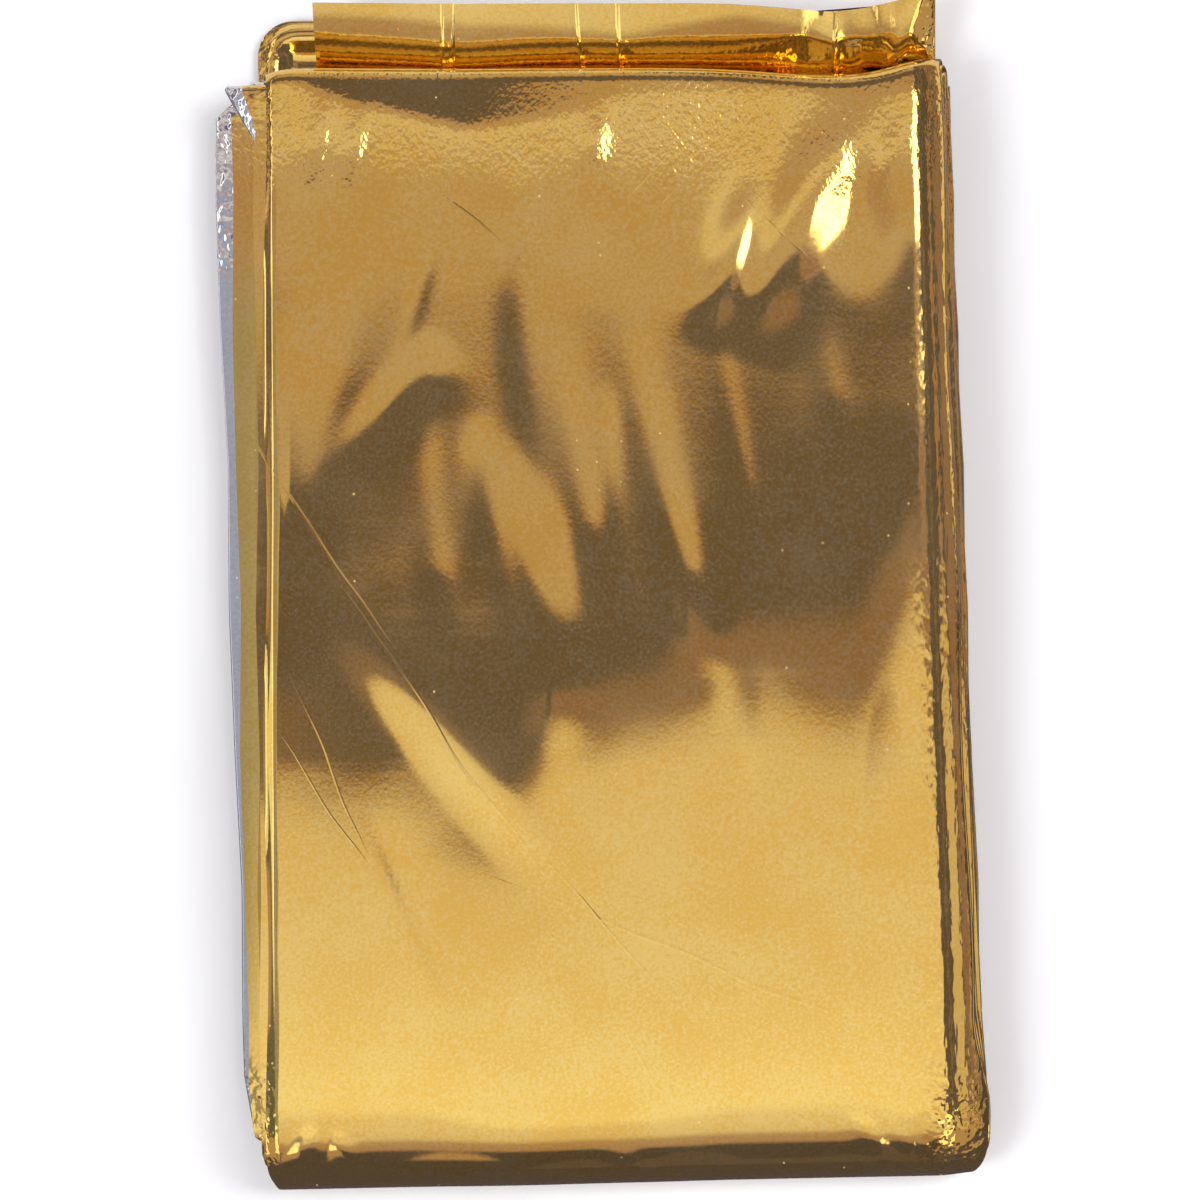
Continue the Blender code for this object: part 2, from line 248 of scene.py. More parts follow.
# Creases of the top ply. A ridge, or a trough where its height is negative, runs from its lower end
# to its upper one, bowed sideways in its middle. It is highest at its peak, a share of its length,
# and dies out towards both ends. Places, bows, heights and widths are in mm.
RIDGE_COLUMNS = ("x0", "y0", "x1", "y1", "bow", "peak", "height", "left", "right")
RIDGE_ROWS = (
    # Ridges that climb to a peak near the open end: dark tongues that rise from the middle.
    (-4.0, 8.0, -9.2, 52.0, -2.9, 0.78, 0.21, 1.8, 2.3),
    (-25.5, 18.0, -18.6, 45.0, 0.0, 0.75, 0.045, 0.9, 0.9),
    (-15.5, -2.0, -13.8, 22.0, 0.0, 0.75, 0.07, 1.5, 1.5),
    (-34.5, 11.0, -17.5, 30.5, 0.0, 0.80, 0.13, 2.0, 3.2),
    (2.2, 0.0, 0.6, 26.0, 0.0, 0.55, 0.10, 1.1, 1.1),
    (-35.6, 2.0, -35.8, 34.0, 0.0, 0.60, 0.10, 1.2, 1.2),
    # Ridges with a low peak, which fall gently towards the open end: gold flames.
    (-36.0, -2.0, -28.5, 42.0, 0.0, 0.36, 0.20, 4.0, 3.0),
    (-18.4, -6.0, -18.8, 34.0, -1.0, 0.25, 0.15, 1.6, 1.6),
    (-4.5, -19.0, -13.6, 20.0, 2.6, 0.42, 0.29, 3.4, 4.0),
    (-8.9, -10.0, -13.8, 19.0, 0.0, 0.35, 0.07, 1.2, 1.2),
    (-5.0, -26.0, -6.6, -4.0, 0.6, 0.66, 0.13, 2.8, 3.8),
    (0.5, -2.0, -6.0, 36.0, 0.0, 0.30, 0.14, 2.2, 2.2),
    (13.0, -10.0, 2.5, 40.0, -0.8, 0.28, 0.20, 2.2, 2.2),
    (18.5, 4.0, 13.0, 36.0, 0.0, 0.30, 0.06, 1.2, 1.2),
    (28.0, 18.0, 24.5, 38.0, 0.0, 0.30, 0.04, 1.6, 1.6),
    # Small ridges at the dark field's lower edge.
    (17.6, -22.0, 17.2, -4.0, 0.0, 0.30, 0.05, 1.0, 1.0),
    (14.6, -16.0, 14.2, 0.0, 0.0, 0.75, 0.05, 1.2, 1.2),
    # Facets near the open end, at the right.
    (17.0, 28.0, 29.2, 61.0, -0.5, 0.56, 1.04, 3.2, 4.3),
    (26.4, 46.0, 31.4, 61.0, 0.0, 0.50, 0.34, 2.6, 3.2),
    (12.0, 29.0, 18.6, 52.0, 0.0, 0.58, 0.66, 2.6, 2.0),
    (31.0, 44.0, 36.0, 58.0, 0.0, 0.50, 0.24, 1.6, 1.8),
    # Sharp little creases of the open end.
    (-33.8, 47.0, -31.4, 61.0, 0.0, 0.43, 0.31, 2.4, 1.25),
    (-29.5, 47.0, -27.2, 60.0, 0.0, 0.43, 0.28, 2.2, 1.15),
    (-1.4, 49.0, 0.0, 58.0, 0.3, 0.50, 0.25, 1.6, 1.3),
    # Slanting creases round the fold end.
    (-37.0, -66.0, -32.4, -61.6, 0.0, 0.60, 0.35, 1.0, 1.0),
    (-27.6, -66.5, -32.0, -61.8, 0.0, 0.60, 0.30, 1.0, 1.0),
    (7.4, -68.0, 0.0, -64.4, 0.0, 0.50, 0.25, 0.8, 0.8),
    (35.2, -67.6, 28.2, -61.4, 0.5, 0.50, 0.32, 0.9, 0.9),
    (38.5, -66.5, 32.0, -62.5, 0.3, 0.50, 0.22, 0.8, 0.8),
)
RIDGES = [dict(zip(RIDGE_COLUMNS, row)) for row in RIDGE_ROWS]

# A step lifts the sheet to the right of a line against its left, softly over a width, by its rise
# in mm. It dies out over a share of the line at either end, and some widths off on both sides.
STEP_REACH = 2.2
STEP_COLUMNS = ("x0", "y0", "x1", "y1", "bow", "rise", "width", "fade")
STEP_ROWS = (
    (-1.0, -38.0, -34.0, 2.5, -1.0, 0.36, 6.5, 0.4),
    (-17.0, -50.0, -27.5, -24.0, 0.0, -0.06, 1.6, 0.4),
)
STEPS = [dict(zip(STEP_COLUMNS, row)) for row in STEP_ROWS]


def smooth(share):
    """0 up to 0, 1 from 1, and a soft step between."""
    share = np.clip(share, 0.0, 1.0)
    return share * share * (3 - 2 * share)


def mix(a, b, share):
    """a at share 0, b at share 1."""
    return a + (b - a) * share


def along_and_away(line, x, y):
    """The share along a bowed line, and the distance to its right."""
    x0, y0, x1, y1, bow = (line[name] * MM for name in ("x0", "y0", "x1", "y1", "bow"))
    length = math.hypot(x1 - x0, y1 - y0)
    share = ((x - x0) * (x1 - x0) + (y - y0) * (y1 - y0)) / length**2
    away = ((x - x0) * (y1 - y0) - (y - y0) * (x1 - x0)) / length
    inside = np.clip(share, 0.0, 1.0)
    return share, away - 4 * bow * inside * (1 - inside)


def ridge_height(ridge, x, y):
    """A soft ridge that is highest at its peak and dies out at both ends."""
    share, away = along_and_away(ridge, x, y)
    peak = ridge["peak"]
    lengthwise = smooth(share / peak) * smooth((1 - share) / (1 - peak))
    width = np.where(away < 0, ridge["left"], ridge["right"]) * MM
    return ridge["height"] * MM * lengthwise * np.exp(-((away / width) ** 2))


def step_height(step, x, y):
    """A soft step up to the right of its line, which dies out at both ends and on both sides."""
    share, away = along_and_away(step, x, y)
    widths = away / (step["width"] * MM)
    lengthwise = smooth(share / step["fade"]) * smooth((1 - share) / step["fade"])
    sideways = (smooth(widths + 0.5) - 0.5) * np.exp(-((widths / STEP_REACH) ** 2))
    return step["rise"] * MM * lengthwise * sideways


def relief(x, y):
    """How far the creases lift or sink the top ply at a point."""
    height = sum(ridge_height(ridge, x, y) for ridge in RIDGES)
    return height + sum(step_height(step, x, y) for step in STEPS)


def sunk(x, y):
    """How far the face has sunk at a point, from the leans along it, against its middle."""
    table = np.array(LEAN_ROWS)
    fine = np.linspace(table[0, 0], table[-1, 0], LEAN_STEPS + 1)
    falls = []
    for leans in table.T[1:]:
        slopes = np.tan(np.radians(np.interp(fine, table[:, 0], leans)))
        fallen = np.concatenate(([0], np.cumsum((slopes[1:] + slopes[:-1]) / 2 * np.diff(fine))))
        fallen -= np.interp(0, fine, fallen)
        falls.append(np.interp(y / MM, fine, fallen) * MM)
    found = falls[0]
    for near, far, fallen in zip(LEAN_ACROSS, LEAN_ACROSS[1:], falls[1:]):
        found = found + (fallen - found) * smooth((x / MM - near) / (far - near))
    return found


def bevel_drop(x, y):
    """How far the packet has dropped beyond the bevel's line near its open end."""
    across, line, slope = np.array(BEVEL_ROWS).T
    start = np.interp(x / MM, across, line) * MM
    tangent = np.tan(np.radians(np.interp(x / MM, across, slope)))
    return tangent * BEVEL_SOFT * np.logaddexp(0, (y - start) / BEVEL_SOFT)


def height_share(x, y):
    """How high the packet stands at a point, against its flat stack of plies."""
    share = (y - FOLD_TURN_Y) / (OPEN_TURN_Y - FOLD_TURN_Y)
    top = LAYERS[TOP_LAYER]
    left = mix(top["left_fold"], top["left_open"], share) - LEFT_BEYOND
    y = np.minimum(y, LEVEL_FROM)
    right = np.maximum.reduce([mix(row["right_fold"], row["right_open"], share) for row in LAYERS])
    at_left = mix(LEFT_SHARE, 1.0, smooth((x - left) / LEFT_ROUND))
    inside = np.clip((right - x) / RIGHT_ROUND, 0, 1)
    at_right = 1 - (1 - RIGHT_SHARE) * (1 - inside) ** 2
    return at_left * at_right * (1 - (sunk(x, y) + bevel_drop(x, y)) / STACK_HEIGHT)


def top_ply_lift(x, y):
    """How far air and creases lift the top ply off the ply below it, away from its rims."""
    share = (y - FOLD_TURN_Y) / (OPEN_TURN_Y - FOLD_TURN_Y)
    top = LAYERS[TOP_LAYER]
    left = mix(top["left_fold"], top["left_open"], share)
    right = mix(top["right_fold"], top["right_open"], share)
    inner = smooth((x - left) / PUFF_LEFT) * smooth((right - x) / PUFF_RIGHT)
    return (PUFF + relief(x, y)) * inner


def flap_wave(x, y):
    """How far the flap stands above or below its plain tilt."""
    beyond = np.clip(y - FLAP_BEND_START, 0, None)

    def across(row):
        return np.exp(-(((x / MM - row["x"] - row["slant"] * beyond / MM) / row["width"]) ** 2))

    tilt = sum(row["tilt"] * across(row) for row in FLAP_WAVES)
    crease = sum(row["height"] * across(row) for row in FLAP_CREASES) * MM
    crease = crease * smooth(beyond / FLAP_CREASE_START)
    places, lip = np.array(FLAP_LIP_ROWS).T
    past = (y - np.interp(x / MM, places, lip) * MM) / FLAP_LIP_SOFT
    eased = FLAP_LIP_EASE * FLAP_LIP_SOFT * np.logaddexp(0, past)
    return np.tan(np.radians(tilt)) * beyond + crease - eased


def flap_slack(y):
    """How far the flap's other plies lie below its plain tilt, clear of its creases."""
    return -math.tan(FLAP_SPREAD) * np.clip(y - FLAP_BEND_START, 0, None)


def settled(x, y, z):
    """Points of the flat stack, moved to where they lie in the puffed and creased packet."""
    lifted = z * height_share(x, y)
    left = LAYERS[TOP_LAYER]["left_fold"]
    slant = FOLD_SLANT * (x - left) * smooth(y / FOLD_TURN_Y)
    wave = sum(
        row["reach"] * np.exp(-(((x - row["x"]) / row["width"]) ** 2)) for row in OPEN_WAVES
    )
    wave = wave * smooth((y - OPEN_WAVE_START) / OPEN_WAVE_LENGTH)
    wave = wave * smooth((z - OPEN_WAVE_FLOOR) / OPEN_WAVE_RISE)
    return x, y + slant + wave, lifted


# ------------------------------------------------------------------------------------------------
# Sections along the strip.
# ------------------------------------------------------------------------------------------------

# Steps along a layer's run and round its turns. They crowd towards free ends, and a little towards
# all ends.
RUN_STEPS = {FLOOR_LAYER: 32, FLAP_LAYER: 40, TOP_LAYER: 166}
HIDDEN_RUN_STEPS = 8
OUTER_TURN_STEPS = 26
TURN_STEPS = 8
RUN_CROWDING = 0.15
FREE_END_CROWDING = 2.6

# Columns across a ply, and steps round its pleats. Where the outermost ply shows, and on a share of
# the turns next to that, it has FINE_RATIO times the columns. The lobe has its own, over a share of
# its ply.
OUTER_COLUMNS = 129
HIDDEN_COLUMNS = 8
PLEAT_STEPS = 4
FINE_RATIO = 3
FINE_TURN_SHARE = 0.62
LOBE_COLUMNS = 14
LOBE_SHARE = 0.16
COLUMN_CROWDING = 0.15
HIDDEN_CROWDING = 0.5
SHARP_ANGLE = math.radians(65)


def crowded(count, crowding):
    """Shares from 0 to 1, closer together near both ends."""
    even = np.linspace(0, 1, count + 1)
    return mix(even, 0.5 - 0.5 * np.cos(np.pi * even), crowding)


def layer_z(layer):
    """The height of a layer's middle in the flat stack."""
    return LAYER_THICKNESS / 2 + layer * LAYER_PITCH


def layers_along_strip(halvings):
    """The layer that each panel of the strip lies in, in order along the strip."""
    columns = [[panel] for panel in range(2**halvings)]
    while len(columns) > 1:
        half = len(columns) // 2
        columns = [columns[i] + columns[-1 - i][::-1] for i in range(half)]
    return [columns[0].index(panel) for panel in range(2**halvings)]


def tucked_in(layer, y):
    """How far a free end's corners draw in from the layer's left and right sides."""
    if layer == FLAP_LAYER:
        return FLAP_TUCK * float(smooth((y - FLAP_TUCK_START) / FLAP_TUCK_LENGTH)), 0.0
    if layer == FLOOR_LAYER:
        end = OPEN_TURN_Y + LAYERS[layer]["open_out"]
        into = min(FLOOR_CORNER_RADIUS, max(0.0, y - end + FLOOR_CORNER_RADIUS))
        inset = FLOOR_CORNER_RADIUS - math.sqrt(FLOOR_CORNER_RADIUS**2 - into**2)
        return inset, inset
    return 0.0, 0.0


def sides(layer, y):
    """The left and right edges of a layer's plies, from the ply on the strip's inner face out."""
    row = LAYERS[layer]
    share = (y - FOLD_TURN_Y) / (OPEN_TURN_Y - FOLD_TURN_Y)
    phase = 2 * math.pi * y / SIDE_WANDER_LENGTH + SIDE_WANDER_PHASE * layer
    wander = SIDE_WANDER * math.sin(phase)
    left_tuck, right_tuck = tucked_in(layer, y)
    gold_in = mix(row["gold_fold"], row["gold_open"], share)
    if layer in CORNERS:
        corner = CORNERS[layer]
        into = np.clip((y - corner["start"]) / (corner["end"] - corner["start"]), 0.0, 1.0)
        left_tuck += into * corner["inset"]
        gold_in += into**0.5 * corner["silver"]
    left = mix(row["left_fold"], row["left_open"], share) + wander + left_tuck
    right = mix(row["right_fold"], row["right_open"], share) + wander - right_tuck
    right = mix(right, END_RIGHT, float(smooth((END_RIGHT_FROM - y) / END_RIGHT_OVER)))
    if layer != TOP_LAYER:
        left = mix(left, END_LEFT, float(smooth((END_LEFT_FROM - y) / END_LEFT_OVER)))
    roll_in = row["roll_in"]
    lefts = (left + gold_in, left, left, left + gold_in)
    rights = (right, right, right - roll_in, right - roll_in)
    return np.array(lefts), np.array(rights)


def flap_rise(y):
    """(rise, slope angle) of the flap: a short bend, then a straight tilt."""
    into = y - FLAP_BEND_START
    if into <= 0:
        return 0.0, 0.0
    if into < FLAP_BEND_LENGTH:
        slope = math.tan(FLAP_TILT) * into / FLAP_BEND_LENGTH
        return slope * into / 2, math.atan(slope)
    return math.tan(FLAP_TILT) * (into - FLAP_BEND_LENGTH / 2), FLAP_TILT


# A section of the strip: its place, the strip's direction there, its plies' left and right sides,
# where the unfolded top ply has it, how loose its outer ply lies, and how finely it is meshed.
Station = namedtuple("Station", "y z direction lefts rights along loose detail")
COARSE, FINE, LOBE = range(3)


def run_stations(layer, y_from, y_to):
    """Sections along a straight run."""
    steps = RUN_STEPS.get(layer, HIDDEN_RUN_STEPS)
    towards = 0.0 if y_to > y_from else math.pi
    shares = crowded(steps, RUN_CROWDING)
    if layer == FLAP_LAYER:
        shares = 1 - np.linspace(1, 0, steps + 1) ** FREE_END_CROWDING
    if layer == FLOOR_LAYER:
        shares = np.linspace(0, 1, steps + 1) ** FREE_END_CROWDING
    if layer in CORNERS:
        corner = np.linspace(CORNERS[layer]["start"], CORNERS[layer]["end"], CORNER_STEPS + 1)
        corner = (corner[corner < max(y_from, y_to)] - y_from) / (y_to - y_from)
        shares = np.sort(np.concatenate((shares, corner)))
    if layer not in RUN_STEPS:
        end = np.linspace(END_RIGHT_FROM, END_RIGHT_FROM - END_RIGHT_OVER, END_STEPS)
        shares = np.sort(np.concatenate((shares, (end - y_from) / (y_to - y_from))))
    loose = 1.0 if layer == TOP_LAYER else 0.0
    found = []
    for share in shares:
        y = mix(y_from, y_to, share)
        rise, slope = flap_rise(y) if layer == FLAP_LAYER else (0.0, 0.0)
        detail = FINE if layer == TOP_LAYER or rise > 0 else COARSE
        if layer == FLOOR_LAYER and y > LOBE_START:
            detail = LOBE
        place = (y, layer_z(layer) + rise, towards + slope)
        found.append(Station(*place, *sides(layer, y), y, loose, detail))
    return found


def turn_stations(layer, other, y_centre, outward):
    """Sections round a turn from one layer to another, without its two ends."""
    z_from, z_to = layer_z(layer), layer_z(other)
    radius = abs(z_to - z_from) / 2
    rising = 1 if z_to > z_from else -1
    steps = OUTER_TURN_STEPS if abs(other - layer) == TOP_LAYER else TURN_STEPS
    sides_from, sides_to = sides(layer, y_centre), sides(other, y_centre)
    top_turn = TOP_LAYER in (layer, other)
    found = []
    for step in range(1, steps):
        share = step / steps
        angle = math.pi * share
        reach = radius * (OPEN_TURN_REACH if outward > 0 else 1)
        y = y_centre + outward * reach * math.sin(angle)
        z = (z_from + z_to) / 2 - rising * radius * math.cos(angle)
        direction = math.atan2(rising * math.sin(angle), outward * math.cos(angle))
        lefts, rights = (mix(a, b, smooth(share)) for a, b in zip(sides_from, sides_to))
        if outward < 0:
            corner = TURN_CORNER * math.sin(angle) ** TURN_CORNER_SHARPNESS
            lefts, rights = lefts + corner, rights - corner
        from_top = math.pi - angle if other == TOP_LAYER else angle
        along = y_centre + outward * radius * from_top
        loose = float(smooth(1 - from_top / (math.pi if outward < 0 else math.pi / 2)))
        detail = FINE if top_turn and from_top < math.pi * FINE_TURN_SHARE else COARSE
        place = (y, z, direction)
        found.append(Station(*place, lefts, rights, along, loose * top_turn, detail))
    return found


def strip_stations():
    """Every section of the strip, from the free end on the floor to the end of the flap."""
    order = layers_along_strip(HALVINGS)
    found = []
    for place, layer in enumerate(order):
        row = LAYERS[layer]
        fold_y = FOLD_TURN_Y + row["fold_in"]
        open_y = OPEN_TURN_Y + row["open_out"]
        to_fold = place % 2 == 0
        ends = (open_y, fold_y) if to_fold else (fold_y, open_y)
        found += run_stations(layer, *ends)
        if place + 1 < len(order):
            found += turn_stations(layer, order[place + 1], ends[1], -1 if to_fold else 1)
    return found


def ply_columns(ply):
    """(shares from left to right across a ply, the detail that each belongs to)."""
    if ply == PLY_COUNT - 1:
        shares = crowded(OUTER_COLUMNS, COLUMN_CROWDING)
        return shares, [COARSE if i % FINE_RATIO == 0 else FINE for i in range(len(shares))]
    marked = [(share, COARSE) for share in crowded(HIDDEN_COLUMNS, HIDDEN_CROWDING)]
    if ply == 0:
        marked += [(share, LOBE) for share in np.linspace(0, LOBE_SHARE, LOBE_COLUMNS + 1)[1:]]
    shares, details = zip(*sorted(marked))
    return np.array(shares), list(details)


def section_columns():
    """The pleated section, from the outer ply's free edge to the inner one's: one row a point.

    A row is (ply, share from left to right, how far beyond that side, height, detail).
    """
    radius = PLY_PITCH / 2
    found = []
    for ply in reversed(range(PLY_COUNT)):
        rightward = ply % 2 == 1
        height = (ply - (PLY_COUNT - 1) / 2) * PLY_PITCH
        for share, detail in list(zip(*ply_columns(ply)))[:: 1 if rightward else -1]:
            found.append((ply, share, radius * (1 - 2 * share), height, detail))
        if ply:
            for step in range(1, PLEAT_STEPS):
                angle = math.pi * step / PLEAT_STEPS
                reach = radius * math.sin(angle) - radius
                drop = height - radius * (1 - math.cos(angle))
                side = 1.0 if rightward else 0.0
                found.append((ply, side, reach if rightward else -reach, drop, COARSE))
    return np.array(found)


def lobe_bulge(x, y, left, end):
    """How far the lobe's upper ply stands off the floor's other plies."""
    across = np.clip(FLOOR_CORNER_RADIUS - (x - left), 0, None)
    along = np.clip(FLOOR_CORNER_RADIUS - (end - y), 0, None)
    inside = np.clip(FLOOR_CORNER_RADIUS - np.hypot(across, along), 0, None)
    fallen = LOBE_FALL_SHARE * smooth((inside - LOBE_CREST) / LOBE_BACK)
    return LOBE_RISE * (smooth(inside / LOBE_RIM) - fallen)


def film_points():
    """The whole film as a grid of points: a row a section, a column a point across it."""
    stations = strip_stations()
    y, z, direction, along, loose = (
        np.array([getattr(station, name) for station in stations])[:, None]
        for name in ("y", "z", "direction", "along", "loose")
    )
    lefts = np.array([station.lefts for station in stations])
    rights = np.array([station.rights for station in stations])
    columns = section_columns()
    ply = columns[:, 0].astype(int)
    share, beyond, height = columns[:, 1], columns[:, 2], columns[:, 3]
    x = mix(lefts[:, ply], rights[:, ply], share) + beyond
    number = np.arange(len(stations))[:, None]
    in_flap = number >= len(stations) - 1 - RUN_STEPS[FLAP_LAYER]
    in_lobe = number <= RUN_STEPS[FLOOR_LAYER]
    outer = ply == PLY_COUNT - 1
    outward = height + np.where(outer, top_ply_lift(x, along), -PLY_TUCK) * loose
    flat_y = y - np.where(in_flap, 0.0, np.sin(direction)) * outward
    spread = np.where(outer, flap_wave(x, flat_y), flap_slack(flat_y))
    flat_z = z + np.cos(direction) * outward + spread * in_flap
    lobe_left = LAYERS[FLOOR_LAYER]["left_open"]
    lobe_end = OPEN_TURN_Y + LAYERS[FLOOR_LAYER]["open_out"]
    bulge = lobe_bulge(x, flat_y, lobe_left, lobe_end) * (ply == 0) * in_lobe
    bulge = bulge * smooth((flat_y - LOBE_START) / MM)
    points = np.stack(settled(x, flat_y, flat_z + bulge), axis=-1)
    points -= (MIDDLE_X, MIDDLE_Y, points[..., 2].min() - FILM_THICKNESS)
    row_detail = np.array([station.detail for station in stations])[:, None]
    used = (columns[:, 4] == COARSE) | (columns[:, 4] == row_detail)
    return points, used


def film_faces(used):
    """Faces between the grid's used points: the rows share columns, and may have more between."""
    column_count = used.shape[1]
    faces = []
    for row, (below, above) in enumerate(zip(used, used[1:])):
        near, far = row * column_count, (row + 1) * column_count
        shared = np.flatnonzero(below & above)
        for left, right in zip(shared, shared[1:]):
            lower = [near + c for c in range(left + 1, right) if below[c]]
            upper = [far + c for c in range(right - 1, left, -1) if above[c]]
            faces.append([near + left, *lower, near + right, far + right, *upper, far + left])
    return faces


def film_sheet(gold, silver):
    """The film as one mesh: gold outside, silver inside, as thick as it can be seen."""
    points, used = film_points()
    faces = film_faces(used)
    place = np.cumsum(used) - 1
    mesh = bpy.data.meshes.new("foil_film")
    mesh.from_pydata(points[used].tolist(), [], [place[face].tolist() for face in faces])
    mesh.shade_smooth()
    mesh.materials.append(gold)
    mesh.materials.append(silver)
    film = bpy.data.objects.new("foil_film", mesh)
    bpy.context.scene.collection.objects.link(film)
    thickness = film.modifiers.new("thickness", "SOLIDIFY")
    thickness.thickness = FILM_THICKNESS
    thickness.offset = -1
    thickness.material_offset = 1
    thickness.material_offset_rim = 1
    film.data = bpy.data.meshes.new_from_object(
        film.evaluated_get(bpy.context.evaluated_depsgraph_get())
    )
    film.modifiers.clear()
    film.data.set_sharp_from_angle(angle=SHARP_ANGLE)
    return film


# ------------------------------------------------------------------------------------------------
# Materials.
# ------------------------------------------------------------------------------------------------

GOLD_COLOUR = (0.92, 0.63, 0.15, 1.0)
GOLD_DEEP = (0.88, 0.53, 0.09, 1.0)
GOLD_PALE = (0.95, 0.71, 0.24, 1.0)
SILVER_COLOUR = (0.86, 0.88, 0.88, 1.0)
SILVER_DEEP = (0.72, 0.76, 0.78, 1.0)
SILVER_PALE = (0.95, 0.96, 0.96, 1.0)

# Hairline creases pressed into the film: ends in mm, width in mm and depth in micrometres.
HAIRLINE_COLUMNS = ("x0", "y0", "x1", "y1", "width", "depth")
HAIRLINE_ROWS = (
    (-43.0, 22.0, -22.0, -8.0, 0.20, 10),
    (-30.0, 2.0, -3.0, -37.0, 0.20, 11),
    (-9.5, -27.0, 10.0, -48.0, 0.18, 8),
    (-37.7, -4.4, -26.4, -31.0, 0.18, 9),
    (-38.3, -14.3, -26.0, -32.0, 0.16, 8),
    (-14.0, -31.5, 37.0, -52.2, 0.30, 6),
    (-2.8, -44.5, -3.5, -64.0, 0.26, 7),
    (0.6, -46.0, 8.0, -58.4, 0.24, 8),
    (-24.0, 52.0, -10.0, 41.0, 0.16, 7),
    (16.0, 48.0, 25.0, 39.0, 0.16, 7),
    (-13.9, 58.9, -7.3, 51.8, 0.18, 10),
    (-10.5, 59.5, -3.5, 52.5, 0.14, 8),
    (1.0, 44.5, 8.5, 52.5, 0.14, 8),
    (4.5, 43.5, 10.5, 50.0, 0.12, 7),
    (6.5, 58.0, 12.0, 50.5, 0.12, 7),
    (18.5, 58.5, 24.5, 50.5, 0.16, 9),
    (22.0, 59.5, 29.5, 51.0, 0.16, 9),
    (25.5, 59.5, 32.0, 53.5, 0.12, 7),
    (-18.7, 59.5, -18.2, 72.0, 0.28, 70),
    (-17.2, 59.5, -16.9, 72.0, 0.24, 60),
    (-2.2, 59.5, -2.4, 72.0, 0.24, 55),
    (2.3, 59.5, 2.3, 72.0, 0.28, 70),
    (27.9, 59.5, 27.9, 72.0, 0.28, 70),
)
HAIRLINES = [dict(zip(HAIRLINE_COLUMNS, row)) for row in HAIRLINE_ROWS]

# The film's noises: a scale in waves a metre, how much detail, and a stretch along x, y and z.
EVEN = (1.0, 1.0, 1.0)
CLOUD_NOISE = (90.0, 2.0, EVEN)
GRAIN_NOISE = (2600.0, 1.0, EVEN)
RUB_NOISE = (1500.0, 0.0, (0.02, 1.0, 1.0))
GOLD_CRINKLE_NOISE = (2000.0, 1.0, (1.0, 0.7, 1.0))
SILVER_CRINKLE_NOISE = (1000.0, 1.0, (1.0, 0.7, 1.0))
ROLL_NOISE = (1600.0, 1.0, (1.0, 0.35, 1.0))
CORNER_NOISE = (900.0, 1.0, EVEN)
# Hairlines, specks and crinkles wander from their places by up to half of this.
WANDER_SCALE, WANDER_REACH = 90.0, 1.6 * MM
# Crushed specks lie in some of the clouds. A share of the cells has one, with a radius in cells and
# a core that is a share of that radius.
SPECK_SCALE, SPECK_RADIUS, SPECK_CORE, SPECK_CHANCE = 420.0, 0.07, 0.4, 0.16
SPECK_CLOUDS = (0.54, 0.60)

# Colour and gloss: the values of a noise over which something changes, and what it changes between.
MOTTLE, MOTTLE_SHARE = (0.34, 0.66), 0.55
SPECK_METALLIC, SPECK_ROUGHNESS = 0.4, 0.2
ROUGH_CLOUDS, ROUGHNESS = (0.35, 0.75), (0.045, 0.08)
RUBBED, RUB_ROUGHNESS = (0.55, 0.75), 0.012
COAT_GRAIN, COAT_WEIGHT = (0.35, 0.65), (0.1, 1.0)
COAT_ROUGHNESS, COAT_IOR = 0.3, 1.5

# Small crinkles: their depth in metres, their noise, and where, along y, they begin and are full.
# The packet's middle keeps a share of them, CRINKLE_FLOOR, and the flap keeps another.
CRINKLE_COLUMNS = ("depth", "noise", "start", "full")
GOLD_CRINKLES = dict(zip(CRINKLE_COLUMNS, (40e-6, GOLD_CRINKLE_NOISE, 43 * MM, 53 * MM)))
SILVER_CRINKLES = dict(zip(CRINKLE_COLUMNS, (300e-6, SILVER_CRINKLE_NOISE, 34 * MM, 42 * MM)))
CRINKLE_FLOOR = 0.03
FLAP_CRINKLE_SHARE, FLAP_CRINKLE_FROM = 0.2, (61.5 * MM, 63 * MM)
# The rolled right side is crinkled from a place across, and the packet's corners are crushed.
ROLL_DEPTH, ROLL_FROM = 36e-6, (35.5 * MM, 38.5 * MM)
CORNER_DEPTH, CORNER_X, CORNER_Y = 220e-6, (36.8 * MM, 39.5 * MM), (52 * MM, 60 * MM)
GRAIN_DEPTH, RUB_DEPTH, SPECK_DEPTH = 1e-6, 0.12e-6, 4e-6


